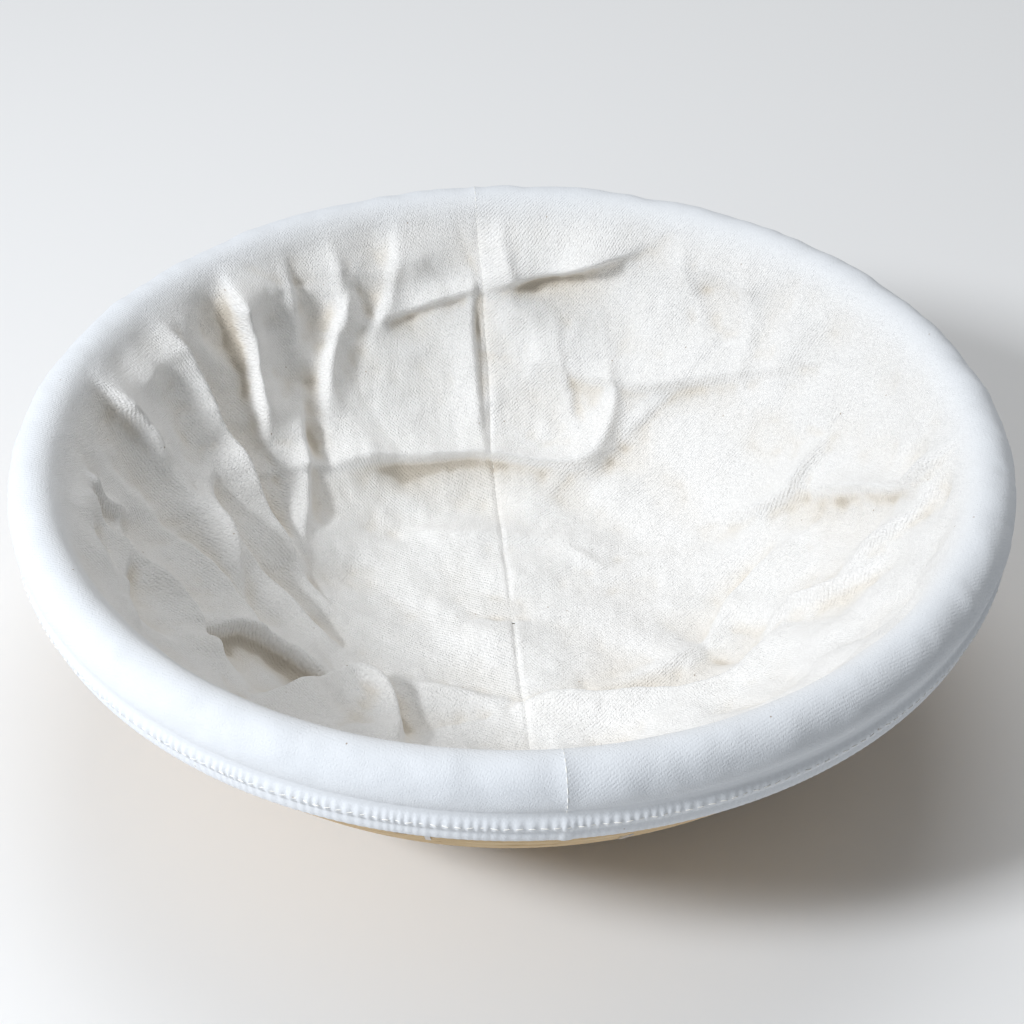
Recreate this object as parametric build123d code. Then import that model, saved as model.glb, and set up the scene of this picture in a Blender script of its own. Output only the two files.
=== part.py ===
"""A round proofing basket of coiled rattan cane, with its two-panel cotton liner.

The basket is a stack of cane courses. Each course is one length of cane bent into a ring, its ends
scarfed together, and the courses are stapled edge to edge. The base is a flat spiral of cane inside
the lowest ring, with its underside sanded flat. The liner is sewn from a left and a right panel that
meet in one seam across the bowl. It lines the bowl, rolls over the rim course and ends in a casing
that holds an elastic, which grips the wall just under the rim.

Millimetres, +Z up. The origin is the centre of the base, on the surface that the basket stands on.
The seam of the liner runs along Y, and the front of the basket faces -Y.
"""

from build123d import *
from math import cos, pi, radians, sin
import os

# ---------------------------------------------------------------- driving dimensions
rim_radius = 105.0  # centreline of the cane in the rim course
cane_diameter = 10.0
cane_gap = 0.05  # between one cane and the next
# Lean of each step of the wall from the vertical, from the rim course down to the base ring.
wall_lean = [18, 30, 40, 46, 48, 50, 54, 62, 76]
sanded_depth = 0.4  # taken off the underside of the base
tightest_bend = 0.7  # smallest bend of the base spiral, in cane diameters
tail_turn = 120  # degrees over which the spiral's outer end is shaved away

staple_wire = 0.6  # thickness of the wire across the crown
staple_width = 1.1  # width of the wire along the cane
staple_depth = 0.65  # how far a staple is driven in, in cane diameters
staple_clear = 0.15  # least height of the last course's staples over the standing surface
staple_spacing = 32.0  # between the staples round the base ring, nearly; the courses above have as many
first_staple = 8.0  # degrees from +X

scarf_angle = 15.0  # between a scarf cut and the cane
scarf_kerf = 0.15
scarf_stride = 1.5  # from one course's scarf to the next one's, in staple spacings
pin_diameter = 0.9
pin_depth = 0.8  # length of a scarf pin, in cane diameters
pin_offset = 5.0  # each side of a scarf's middle, along the cane

cloth = 0.6  # thickness of the liner
cloth_gap = 0.3  # between the liner and the cane
elastic_thickness = 0.5
elastic_width = 5.6
elastic_clearance = 0.1  # around the elastic, inside its casing
hem_edge = 1.0  # cloth beyond the elastic, at the casing's upper and lower edges
hem_overhang = 1.5  # the casing reaches this far past the middle of the second course
hem_rounding = 0.5
thread = 0.4  # thickness of the sewing thread
thread_lift = 0.05  # between the thread and the cloth it lies on

# ---------------------------------------------------------------- what follows from them
cane_radius = cane_diameter / 2
pitch = cane_diameter + cane_gap
base_z = cane_radius - sanded_depth  # centreline of the base canes


def course_centres():
    """(radius, height) of each course's centreline, from the rim course down to the base ring."""
    rise = sum(pitch * cos(radians(lean)) for lean in wall_lean)
    centres = [(rim_radius, base_z + rise)]
    for lean in wall_lean:
        r, z = centres[-1]
        centres.append((r - pitch * sin(radians(lean)), z - pitch * cos(radians(lean))))
    return centres


courses = course_centres()
rim_z = courses[0][1]
base_ring_radius = courses[-1][0]
wall_staple_count = round(2 * pi * base_ring_radius / staple_spacing)
course_names = ["rim_course"]
course_names += [f"wall_course_{i}" for i in range(1, len(wall_lean))]
course_names += ["base_ring"]


def inward(step):
    """Unit normal of a step of the wall, towards the inside of the bowl, as (radial, up)."""
    lean = radians(wall_lean[step])
    return (-cos(lean), sin(lean))


def polar(radius, angle, z=0.0):
    """The point at a radius and an angle in degrees about the basket's axis."""
    return Vector(radius * cos(radians(angle)), radius * sin(radians(angle)), z)


def save(name, shape):
    os.makedirs("parts", exist_ok=True)
    export_step(shape, f"parts/{name}.step")


# ---------------------------------------------------------------- fasteners
def bar(start, end, side, width, height):
    """A straight bar of rectangular section: width lies along side, height across it."""
    along = (end - start).normalized()
    section = Plane(origin=start, x_dir=side, z_dir=along) * Rectangle(width, height)
    return extrude(section, (end - start).length)


def staple(a, b, drive):
    """A staple whose crown's outer face runs from a to b, with a leg driven in at each."""
    along = (b - a).normalized()
    side = along.cross(drive).normalized()
    half = staple_wire / 2
    sunk = drive.normalized() * half
    crown = bar(a - along * half + sunk, b + along * half + sunk, side, staple_width, staple_wire)
    deep = drive.normalized() * staple_depth * cane_diameter
    legs = [bar(foot, foot + deep, side, staple_width, staple_wire) for foot in (a, b)]
    return crown + legs


def groove_over(a, b, drive, depth):
    """What is cut from the cane over a staple's crown, where the crown is sunk by that depth."""
    along = (b - a).normalized() * (staple_wire / 2)
    above = drive.normalized() * (depth / -2)
    side = along.cross(drive).normalized()
    return bar(a - along + above, b + along + above, side, staple_width, depth)


def wall_staples(step):
    """The staples across one step of the wall, driven from outside, and the grooves over them.

    Only the last step's staples are sunk, so that they clear the sanded underside.
    """
    into_r, into_z = inward(step)
    last = step == len(wall_lean) - 1
    sunk = sanded_depth + staple_clear if last else 0.0
    out = cane_radius - sunk
    spacing = 360 / wall_staple_count
    found, grooves = [], []
    for i in range(wall_staple_count):
        angle = first_staple + (i + 0.5 * (step % 2)) * spacing
        ends = [polar(r - into_r * out, angle, z - into_z * out) for r, z in courses[step : step + 2]]
        drive = polar(into_r, angle, into_z)
        found.append(staple(ends[0], ends[1], drive))
        if last:
            grooves.append(groove_over(ends[0], ends[1], drive, 2 * sunk))
    return found, grooves


def scarf_place(index):
    """Angle of a course's scarf, in degrees: half way between two of the staples beside it."""
    spacing = 360 / wall_staple_count
    return first_staple + (0.25 + scarf_stride * index) * spacing


def scarf_pins(index):
    """The two pins that hold a course's scarf, driven down through the cut."""
    r, z = courses[index]
    length = pin_depth * cane_diameter
    pin = Cylinder(pin_diameter / 2, length)
    middle = z + cane_radius - pin_diameter / 2 - length / 2
    spread = pin_offset / r * 180 / pi
    return [Pos(*polar(r, scarf_place(index) + side * spread, middle)) * pin for side in (-1, 1)]


# ---------------------------------------------------------------- cane
def ring(index):
    """One course: a ring of cane, its two ends cut to a slant and laid one over the other."""
    r, z = courses[index]
    cane = Pos(0, 0, z) * Torus(r, cane_radius)
    cut_length = 1.3 * cane_diameter / sin(radians(scarf_angle))
    kerf = Rot(scarf_angle, 0, 0) * Box(3 * cane_diameter, cut_length, scarf_kerf)
    return cane - Rot(0, 0, scarf_place(index)) * Pos(r, 0, z) * kerf


def half_turn(radius, centre_x, side, turn=180):
    """A half turn of cane in the base. side is 1 for the +Y half and -1 for the -Y half."""
    section = Plane.XZ * Pos(centre_x - radius, base_z) * Circle(cane_radius)
    axis = Axis((centre_x, 0, 0), (0, 0, -side))
    return revolve(section, axis, turn)


def spiral_radii():
    """Radii of the spiral's half turns, from the outermost in. Even ones lie at +Y, odd ones at -Y."""
    radii = [base_ring_radius - pitch]
    while radii[-1] - pitch / 2 > tightest_bend * cane_diameter:
        radii.append(radii[-1] - pitch / 2)
    return radii


def base_spiral():
    """The flat spiral inside the base ring, with its outer end shaved to lie along the ring."""
    coil = None
    for i, radius in enumerate(spiral_radii()):
        odd = i % 2
        turn = half_turn(radius, odd * pitch / 2, -1 if odd else 1)
        coil = turn if coil is None else coil + turn
    tail = half_turn(base_ring_radius - pitch / 2, pitch / 2, -1, tail_turn)
    inside_ring = Cylinder(base_ring_radius - cane_radius - cane_gap / 2, 4 * cane_diameter)
    return coil + (tail & inside_ring)


def sanded(shape):
    """The shape without what lies below the standing surface."""
    reach = 4 * base_ring_radius
    return shape - Pos(0, 0, -cane_diameter / 2) * Box(reach, reach, cane_diameter)


def base_staples():
    """Staples across the turns of the base, driven up from the underside in five radial rows."""
    up = Vector(0, 0, 1)
    radii = spiral_radii()
    found = []
    for angle in (40, 90, 140):
        rows = [base_ring_radius] + radii[0::2]
        for outer, inner in zip(rows, rows[1:]):
            found.append(staple(polar(outer, angle), polar(inner, angle), up))
    for angle in (-55, -115):
        shift = Vector(pitch / 2, 0, 0)
        rows = radii[1::2]
        for outer, inner in zip(rows, rows[1:]):
            found.append(staple(shift + polar(outer, angle), shift + polar(inner, angle), up))
        turn = shift + polar(rows[0], angle)
        found.append(staple(turn.normalized() * base_ring_radius, turn, up))
    return found


# ---------------------------------------------------------------- liner
def lining_points(offset):
    """(radius, height) down the bowl at an offset inside the canes' centres, from the rim to the axis."""
    first = inward(0)
    points = [(rim_radius + offset * first[0], rim_z + offset * first[1])]
    normals = [inward(i) for i in range(len(wall_lean))] + [(0.0, 1.0)]
    for (r, z), above, below in zip(courses[1:], normals, normals[1:]):
        share = offset / (1 + above[0] * below[0] + above[1] * below[1])
        points.append((r + share * (above[0] + below[0]), z + share * (above[1] + below[1])))
    points.append((0.0, base_z + offset))
    return points


def lining_profile(inner_offset, thickness, low_z):
    """Section of a skin that lines the bowl, rolls over the rim and hangs down outside to low_z."""
    outer_offset = inner_offset + thickness
    under = lining_points(inner_offset)
    over = lining_points(outer_offset)
    rim_out = rim_radius + inner_offset, rim_radius + outer_offset
    edges = [Line(a, b) for a, b in zip(under, under[1:])]
    edges += [Line(a, b) for a, b in zip(over, over[1:])]
    edges.append(Line(under[-1], over[-1]))
    edges.append(ThreePointArc(under[0], (rim_radius, rim_z + inner_offset), (rim_out[0], rim_z)))
    edges.append(ThreePointArc(over[0], (rim_radius, rim_z + outer_offset), (rim_out[1], rim_z)))
    edges.append(Line((rim_out[0], rim_z), (rim_out[0], low_z)))
    edges.append(Line((rim_out[1], rim_z), (rim_out[1], low_z)))
    edges.append(Line((rim_out[0], low_z), (rim_out[1], low_z)))
    return make_face(edges)


def beside(down, out):
    """A point beside the wall's first step: down along it from the rim course's centre, and out."""
    lean = radians(wall_lean[0])
    r = rim_radius - down * sin(lean) + out * cos(lean)
    return (r, rim_z - down * cos(lean) - out * sin(lean))


hem_inside = cane_radius + cloth_gap
hem_outside = hem_inside + 2 * cloth + 2 * elastic_clearance + elastic_thickness
hem_end = pitch + hem_overhang
elastic_end = hem_end - hem_edge
elastic_start = elastic_end - elastic_width
casing_start = elastic_start - hem_edge
skirt_low = beside(0, hem_inside + cloth)[1]  # where the panels end and the hem begins


def liner_panel(side):
    """Half of the liner: side -1 is the left panel and 1 the right one."""
    profile = Plane.YZ * lining_profile(cane_radius + cloth_gap, cloth, skirt_low)
    return revolve(profile, Axis.Z, 180 if side < 0 else -180)


def hem_band(down_from, down_to, out_from, out_to):
    """A ring of rectangular section that lies along the wall's first step."""
    corners = [beside(down_from, out_from), beside(down_to, out_from)]
    corners += [beside(down_to, out_to), beside(down_from, out_to)]
    return revolve(Plane.XZ * make_face(Polyline(*corners, close=True)), Axis.Z, 360)


def hem_casing():
    """The tunnel of cloth round the elastic, with the neck that joins it to the panels."""
    over_neck = hem_inside + cloth
    corners = [beside(0.3, hem_inside), beside(hem_end, hem_inside), beside(hem_end, hem_outside)]
    corners += [beside(casing_start, hem_outside), beside(casing_start - hem_edge, over_neck)]
    corners.append(beside(0.3, over_neck))
    section = make_face(Polyline(*corners, close=True))
    shoulder = Vector(*beside(casing_start, hem_outside))
    rounded = section.vertices().sort_by(Axis.Y)[:2]
    rounded += [v for v in section.vertices() if (v.center() - shoulder).length < 0.01]
    section = fillet(rounded, hem_rounding)
    slack = elastic_clearance
    hollow = hem_band(elastic_start - slack, elastic_end + slack, over_neck, hem_outside - cloth)
    return revolve(Plane.XZ * section, Axis.Z, 360) - hollow


def hem_elastic():
    """The elastic inside the casing, drawn as a plain flat band."""
    out = hem_inside + cloth + elastic_clearance
    return hem_band(elastic_start, elastic_end, out, out + elastic_thickness)


def hem_thread():
    """The row of thread round the hem, through the cloth just above the elastic."""
    r, z = beside(casing_start + thread, hem_outside + thread / 2 + thread_lift)
    return Pos(0, 0, z) * Torus(r, thread / 2)


def seam_thread():
    """The thread along the seam, across the bowl and over the rim."""
    offset = cane_radius + cloth_gap + cloth + thread_lift
    half = Plane.YZ * lining_profile(offset, thread, skirt_low + thread)
    far = extrude(half, thread / 2, both=True)
    return far + mirror(far, Plane.XZ)


# ---------------------------------------------------------------- assembly
stapled, grooved = zip(*[wall_staples(step) for step in range(len(wall_lean))])
pinned = [scarf_pins(index) for index in range(len(courses))]
underside = base_staples()

for index, name in enumerate(course_names):
    fasteners = list(pinned[index])
    if index > 0:
        fasteners += stapled[index - 1] + grooved[index - 1]
    if index < len(wall_lean):
        fasteners += stapled[index] + grooved[index]
    course = ring(index)
    if name == "base_ring":
        course = sanded(course)
        fasteners += underside
    save(name, course - fasteners)

save("base_spiral", sanded(base_spiral()) - underside)
save("wall_staples", Compound([s for step in stapled for s in step]))
save("base_staples", Compound(underside))
save("scarf_pins", Compound([p for pair in pinned for p in pair]))

save("liner_left_panel", liner_panel(-1))
save("liner_right_panel", liner_panel(1))
save("hem_casing", hem_casing())
save("hem_elastic", hem_elastic())
save("hem_thread", hem_thread())
save("seam_thread", seam_thread())

widest = rim_radius + cane_radius + cloth_gap + cloth
top = rim_z + cane_radius + cloth_gap + cloth
print("rim centre height", round(rim_z, 2), "base ring radius", round(base_ring_radius, 2))
print("courses", [(round(r, 1), round(z, 1)) for r, z in courses])
print("spiral half turns", [round(r, 1) for r in spiral_radii()])
print("liner outer radius", round(widest, 2), "top of liner", round(top, 2))
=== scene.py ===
# %% [markdown]
# # A coiled cane proofing basket with its cotton liner
#
# The imported CAD model is the frame: metres, +Z up, the base standing on z = 0, and the liner's seam
# along Y. The visual pieces below stand in for the CAD nodes and stay where those nodes are.
#
# The order is the shared measures, the materials, the cane, the cloth (folds listed, then
# relaxed by a cloth simulation), the hem, the stitches, and at the end the light and the camera.
# The staples, the scarf pins and the elastic stay as the CAD model has them, in new materials.

import math

import bpy
import numpy as np
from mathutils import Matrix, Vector


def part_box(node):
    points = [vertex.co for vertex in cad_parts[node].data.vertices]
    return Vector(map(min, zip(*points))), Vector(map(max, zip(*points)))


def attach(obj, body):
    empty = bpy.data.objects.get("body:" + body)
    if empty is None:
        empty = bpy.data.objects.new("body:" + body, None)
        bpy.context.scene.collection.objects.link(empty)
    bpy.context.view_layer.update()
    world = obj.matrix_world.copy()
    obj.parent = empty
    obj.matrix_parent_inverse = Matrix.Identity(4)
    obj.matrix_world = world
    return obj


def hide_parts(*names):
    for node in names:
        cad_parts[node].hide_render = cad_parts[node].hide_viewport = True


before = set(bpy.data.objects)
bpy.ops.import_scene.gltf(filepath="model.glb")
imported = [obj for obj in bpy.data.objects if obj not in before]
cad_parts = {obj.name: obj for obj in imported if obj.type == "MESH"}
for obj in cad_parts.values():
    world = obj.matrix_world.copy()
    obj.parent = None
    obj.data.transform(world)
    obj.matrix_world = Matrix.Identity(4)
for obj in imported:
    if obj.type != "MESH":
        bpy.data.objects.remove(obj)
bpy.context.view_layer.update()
MM = 0.001
print("loaded", len(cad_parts), "nodes")

# %% [markdown]
# ## Measures
#
# Each cane course is a ring, so its box gives the radius and height of its centreline. The liner's
# surface is then a line drawn at one distance inside those centres, from the axis to the rim.

# %% Measure the courses
COURSES = ["rim_course"] + [f"wall_course_{i}" for i in range(1, 9)] + ["base_ring"]
rim_low, rim_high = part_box("rim_course")
CANE = (rim_high.z - rim_low.z) / 2


def centreline(name):
    """Radius and height of the centreline of a ring of cane."""
    low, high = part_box(name)
    return (high.x - low.x) / 2 - CANE, high.z - CANE


centres = np.array([centreline(name) for name in COURSES])
RIM_R, RIM_Z = centres[0]
skirt_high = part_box("liner_left_panel")[1].z
SKIN = skirt_high - RIM_Z  # from the canes' centres to the outer face of the cloth
PITCH = float(np.linalg.norm(centres[1] - centres[0]))  # from one course to the next
print("cane radius", round(CANE, 5), "rim", round(RIM_R, 4), round(RIM_Z, 4), "skin", round(SKIN, 5))

# %% [markdown]
# ### The liner's line
#
# The liner is a bowl of revolution before it creases, so one profile line describes it. `Line` reads
# that line by the distance along it, which is also the distance along the cloth, and `place` lays a
# flat cloth on it and lifts the cloth off it.


# %% The liner's line
def rounded(points, times):
    """The line with its corners cut off, the ends kept."""
    for _ in range(times):
        a, b = points[:-1], points[1:]
        cut = np.stack([0.75 * a + 0.25 * b, 0.25 * a + 0.75 * b], 1).reshape(-1, 2)
        points = np.vstack([points[:1], cut, points[-1:]])
    return points


def line_at(offset, last_angle):
    """Points (radius, height) from the axis up the wall and over the rim course to last_angle."""
    steps = np.diff(centres, axis=0)
    steps /= np.linalg.norm(steps, axis=1)[:, None]
    normals = np.stack([steps[:, 1], -steps[:, 0]], 1)
    points = [(0.0, centres[-1][1] + offset), (centres[-1][0] + 0.12 * offset, centres[-1][1] + offset)]
    for i in range(len(centres) - 2, 0, -1):
        middle = normals[i - 1] + normals[i]
        points.append(tuple(centres[i] + offset * middle / np.linalg.norm(middle)))
    wall = rounded(np.array(points), 2)
    first_angle = math.atan2(normals[0][1], normals[0][0])
    turn = np.linspace(first_angle, last_angle, 40)
    roll = centres[0] + offset * np.stack([np.cos(turn), np.sin(turn)], 1)
    return np.vstack([wall, roll])


class Line:
    """A profile line that is read by the distance along it from its start."""

    def __init__(self, points):
        self.points = points
        self.along = np.concatenate([[0], np.cumsum(np.linalg.norm(np.diff(points, axis=0), axis=1))])
        self.length = float(self.along[-1])

    def at(self, s):
        """Radius and height at a distance along the line."""
        return np.interp(s, self.along, self.points[:, 0]), np.interp(s, self.along, self.points[:, 1])

    def normal(self, s, reach=0.8 * MM):
        """Unit normal towards the inside of the bowl, as (radial, up)."""
        r0, z0 = self.at(np.clip(s - reach, 0, self.length))
        r1, z1 = self.at(np.clip(s + reach, 0, self.length))
        size = np.hypot(r1 - r0, z1 - z0) + 1e-12
        return -(z1 - z0) / size, (r1 - r0) / size

    def place(self, x, y, height):
        """Points in the row frame for a flat cloth at (x, y), lifted off the line by height.

        Inside the bowl the normal is read over up to 7 mm each way, because folds stand high there
        and would cross each other where the bare line bends.
        """
        s = np.hypot(x, y)
        c, k = x / np.maximum(s, 1e-9), y / np.maximum(s, 1e-9)
        r, z = self.at(s)
        below_roll = np.clip((ROLL_TOP - 12 * MM - s) / (12 * MM), 0, 1)
        nr, nz = self.normal(s, (0.8 + 6.2 * below_roll) * MM)
        return np.stack([(r + nr * height) * c, (r + nr * height) * k, z + nz * height], -1)


GROOVE_ANGLE = math.radians(-30)  # round the rim course, where the panels end below the roll
skin = Line(line_at(SKIN, GROOVE_ANGLE))
ROLL_TOP = Line(line_at(SKIN, math.pi / 2)).length
print("cloth from the axis to the roll's top", round(ROLL_TOP, 4), "and to the groove", round(skin.length, 4))

# %% [markdown]
# ## Mesh helpers
#
# Most pieces are grids of points. One function turns a grid into a smooth mesh with UVs, another
# hangs the piece on its body and hides the CAD nodes that it stands in for. A CAD node that shows as
# it is only gets a new material.


# %% Make meshes
def add_to_scene(name, data):
    """A new object in the scene, at the origin."""
    obj = bpy.data.objects.new(name, data)
    bpy.context.scene.collection.objects.link(obj)
    return obj


def grid_mesh(name, points, uv, material, wrap=False):
    """A smooth mesh from a grid of points (rows, columns, 3) and its UVs (rows, columns, 2)."""
    rows, columns = points.shape[:2]
    index = np.arange(rows * columns).reshape(rows, columns)
    if wrap:
        index = np.hstack([index, index[:, :1]])
        uv = np.hstack([uv, uv[:, :1]])
        uv[:, -1, 1] = uv[:, -2, 1] + (uv[:, 1, 1] - uv[:, 0, 1])
    quads = np.stack([index[:-1, :-1], index[1:, :-1], index[1:, 1:], index[:-1, 1:]], -1).reshape(-1, 4)
    corner = np.stack([uv[:-1, :-1], uv[1:, :-1], uv[1:, 1:], uv[:-1, 1:]], -2).reshape(-1, 2)
    mesh = bpy.data.meshes.new(name)
    mesh.from_pydata(points.reshape(-1, 3), [], quads)
    mesh.uv_layers.new(name="UVMap").data.foreach_set("uv", corner.astype(np.float32).ravel())
    mesh.polygons.foreach_set("use_smooth", np.ones(len(quads), bool))
    mesh.materials.append(material)
    mesh.update()
    return add_to_scene(name, mesh)


def piece(obj, body, slot, *nodes):
    """obj belongs to a body and stands in for these CAD nodes, which are hidden. slot is not used."""
    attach(obj, body)
    if nodes:
        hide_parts(*nodes)
    return obj


def repaint(node, material):
    """Another material for a CAD node that stays as it is."""
    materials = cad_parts[node].data.materials
    materials.clear()
    materials.append(material)


def area(obj):
    """Area of a piece's faces, in square metres."""
    return sum(p.area for p in obj.data.polygons)


print("mesh helpers ready")

# %% [markdown]
# ## Materials
#
# Every pattern is procedural. `Value` wraps a shader socket so that shader maths reads as
# arithmetic, and `Shader.node` makes any other node from its type, settings and inputs.


# %% Shader helpers
class Value:
    """A float socket of a shader tree, with arithmetic."""

    def __init__(self, shader, socket):
        self.shader, self.socket = shader, socket

    def math(self, operation, *others):
        node = self.shader.node("ShaderNodeMath", {"operation": operation}, [self, *others])
        return Value(self.shader, node.outputs[0])

    def __add__(self, other):
        return self.math("ADD", other)

    def __sub__(self, other):
        return self.math("SUBTRACT", other)

    def __mul__(self, other):
        return self.math("MULTIPLY", other)

    def __rsub__(self, other):
        return self.math("MULTIPLY", -1.0).math("ADD", other)

    __radd__, __rmul__ = __add__, __mul__

    def sine(self):
        return self.math("SINE")

    def ramp(self, low, high):
        """0 at low, 1 at high, smooth between."""
        node = self.shader.node("ShaderNodeMapRange", {"interpolation_type": "SMOOTHSTEP"}, [self, low, high])
        return Value(self.shader, node.outputs[0])


class Shader:
    """A material with a Principled BSDF, and the means to add nodes to it."""

    METRES_TO_MM = (1000, 1000, 1000)

    def __init__(self, name, **constants):
        self.material = bpy.data.materials.new(name)
        self.material.use_nodes = True
        self.tree = self.material.node_tree
        self.surface = self.tree.nodes["Principled BSDF"]
        for key, value in constants.items():
            self.set(key.replace("_", " "), value)

    def node(self, kind, settings=None, inputs=()):
        """A new node. inputs is a list in socket order or a dict by name, of values or sockets."""
        node = self.tree.nodes.new(kind)
        for key, value in (settings or {}).items():
            setattr(node, key, value)
        pairs = inputs.items() if isinstance(inputs, dict) else enumerate(inputs)
        for key, value in pairs:
            self.feed(node.inputs[key], value)
        return node

    def feed(self, socket, value):
        if isinstance(value, Value):
            value = value.socket
        if isinstance(value, bpy.types.NodeSocket):
            self.tree.links.new(value, socket)
        else:
            socket.default_value = value

    def set(self, name, value):
        self.feed(self.surface.inputs[name], value)

    def uv(self, scale, turn=0.0):
        """The UV coordinates, in metres, turned and scaled."""
        source = self.node("ShaderNodeTexCoord").outputs["UV"]
        mapping = self.node("ShaderNodeMapping", inputs={"Vector": source, "Scale": scale})
        mapping.inputs["Rotation"].default_value = (0, 0, turn)
        return mapping.outputs[0]

    def flat(self, turn=0.0):
        """The UV coordinates in millimetres."""
        return self.uv(self.METRES_TO_MM, turn)

    def noise(self, vector, scale=1.0, detail=2.0):
        inputs = {"Vector": vector, "Scale": scale, "Detail": detail}
        return Value(self, self.node("ShaderNodeTexNoise", {}, inputs).outputs["Fac"])

    def axis(self, vector, index):
        """One of the numbers of a vector."""
        return Value(self, self.node("ShaderNodeSeparateXYZ", {}, [vector]).outputs[index])

    def mix(self, factor, a, b):
        """Colour a where factor is 0 and b where it is 1."""
        node = self.node("ShaderNodeMix", {"data_type": "RGBA"})
        for socket, value in ((node.inputs[0], factor), (node.inputs[6], a), (node.inputs[7], b)):
            self.feed(socket, value if not isinstance(value, tuple) else (*value, 1.0))
        return node.outputs[2]

    def bump(self, height, distance, strength=1.0):
        """Relief that the surface only seems to have."""
        inputs = {"Height": height, "Distance": distance, "Strength": strength}
        self.set("Normal", self.node("ShaderNodeBump", {}, inputs).outputs[0])


print("shader helpers ready")

# %% [markdown]
# ### Cotton, thread and elastic
#
# The cloth is pale cotton. It has a fine diagonal rib, broken into slubs by a weaker cross rib and by
# noise. The rib mirrors at the seam, because the UVs of the right panel are a mirror of the left
# one's. Where the cloth is stretched over the rim the rib fades, and a painted cool shade makes it darker
# and bluer. The mesh carries an attribute of painted shade, which turns the valleys between folds beige and
# their bottoms dark.
# Small brown specks of seed husk lie in the yarn.

# %% Cotton
RIB_PITCH, CROSS_PITCH = 0.74, 0.62  # millimetres


def cotton(name, rib, light=(0.94, 0.932, 0.918), dark=(0.90, 0.885, 0.86)):
    """Pale cotton with a diagonal rib of that strength."""
    shader = Shader(name, Roughness=0.95, Sheen_Weight=0.15, Sheen_Roughness=0.6)
    shader.set("Specular IOR Level", 0.15)
    flat, turned = shader.flat(), shader.flat(math.radians(58))
    sway = shader.noise(flat, 0.35, 2.0) * 2.2
    yarn = shader.noise(flat, 2.6, 3.0)
    grain = shader.noise(flat, 1.9, 2.0).ramp(0.38, 0.62)
    broken = shader.noise(flat, 0.9, 3.0).ramp(0.35, 0.65)
    ribs = (shader.axis(turned, 0) * (2 * math.pi / RIB_PITCH) + sway).sine() * 0.5 + 0.5
    cross = (shader.axis(turned, 1) * (2 * math.pi / CROSS_PITCH) + yarn * 9.0).sine() * 0.5 + 0.5
    reach = shader.node("ShaderNodeVectorMath", {"operation": "LENGTH"}, [flat]).outputs["Value"]
    over_rim = Value(shader, reach).ramp(ROLL_TOP / MM - 12, ROLL_TOP / MM + 2)
    rib = (1.0 - over_rim * 0.75) * rib
    slubs = ribs * (0.25 + cross * 0.75) * (0.3 + broken * 0.7)
    weave = slubs * rib + grain * (rib * 0.38 + 0.06)
    patches = shader.noise(flat, 0.12, 4.0).ramp(0.35, 0.7)
    colour = shader.mix(patches * 0.5, light, dark)
    between = (1.0 - slubs) * 0.30 * rib + (1.0 - grain) * rib * 0.16
    colour = shader.mix(between, colour, (0.63, 0.61, 0.58))
    # painted cool shade: the cloth over the rim, and the hem, turn darker and bluer, standing in for the cool
    # light on the roll
    colour = shader.mix(over_rim * 0.8, colour, (0.665, 0.695, 0.735))
    # painted shade: an attribute of the mesh turns the valleys between folds beige and their bottoms dark
    crease_shade = Value(shader, shader.node("ShaderNodeAttribute", {"attribute_name": "crease_shade"}).outputs["Fac"])
    colour = shader.mix(crease_shade * 0.7, colour, (0.68, 0.60, 0.48))
    colour = shader.mix(crease_shade.ramp(0.6, 1.0) * 0.45, colour, (0.40, 0.35, 0.28))
    seeds = shader.node("ShaderNodeTexVoronoi", {}, {"Vector": flat, "Scale": 0.22, "Randomness": 1.0})
    size = Value(shader, shader.node("ShaderNodeSeparateColor", {}, [seeds.outputs["Color"]]).outputs[0])
    speck = (1.0 - Value(shader, seeds.outputs["Distance"]).ramp(0.0, 0.10)) * size.ramp(0.45, 1.0)
    shader.set("Base Color", shader.mix(speck.ramp(0.25, 0.8) * 0.75, colour, (0.30, 0.20, 0.12)))
    shader.bump(weave, 0.22 * MM, 0.9)
    return shader.material


COTTON = cotton("cotton", 1.0)
HEM_COTTON = cotton("hem_cotton", 0.3)
thread = Shader("thread", Roughness=0.7)
thread.set("Base Color", (0.90, 0.885, 0.84, 1.0))
twist = (thread.axis(thread.flat(), 0) * 9.0).sine() * 0.5 + 0.5
thread.bump(twist, 0.05 * MM, 0.5)
THREAD = thread.material
elastic = Shader("elastic", Roughness=0.6)
elastic.set("Base Color", (0.85, 0.85, 0.84, 1.0))
ELASTIC = elastic.material
print("cloth materials ready")

# %% [markdown]
# ### Cane and steel
#
# Peeled rattan has long fibres and short dark pores along its length. UVs run along the cane in U
# and round it in V, both in metres, and each cane starts at a different U, so no two look alike.

# %% Cane and steel
cane = Shader("cane", Roughness=0.55)
cane.set("Specular IOR Level", 0.35)
fibre = cane.noise(cane.uv((55, 1500, 1)), 1.0, 4.0)
pores = cane.noise(cane.uv((230, 3200, 1)), 1.0, 2.0).ramp(0.60, 0.72)
bands = cane.noise(cane.uv((9, 60, 1)), 1.0, 3.0).ramp(0.3, 0.72)
tone = cane.mix(fibre.ramp(0.32, 0.70), (0.80, 0.63, 0.40), (0.62, 0.44, 0.24))
tone = cane.mix(bands * 0.45, tone, (0.56, 0.39, 0.20))
cane.set("Base Color", cane.mix(pores * 0.55, tone, (0.30, 0.19, 0.09)))
cane.set("Roughness", fibre * 0.3 + 0.42)
cane.bump(fibre - pores * 0.8, 0.18 * MM, 0.6)
CANE_SKIN = cane.material

steel = Shader("staple_steel", Metallic=1.0, Roughness=0.32)
steel.set("Base Color", (0.66, 0.66, 0.67, 1.0))
STEEL = steel.material
print("cane and steel ready")

# %% [markdown]
# ## The cane
#
# A course is a ring whose two ends are cut to the same slant. Shifting every point along the cane in
# step with its height shears the whole tube, which gives both ends that slant. The flat underside of
# the base comes from holding its points at z = 0.

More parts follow.
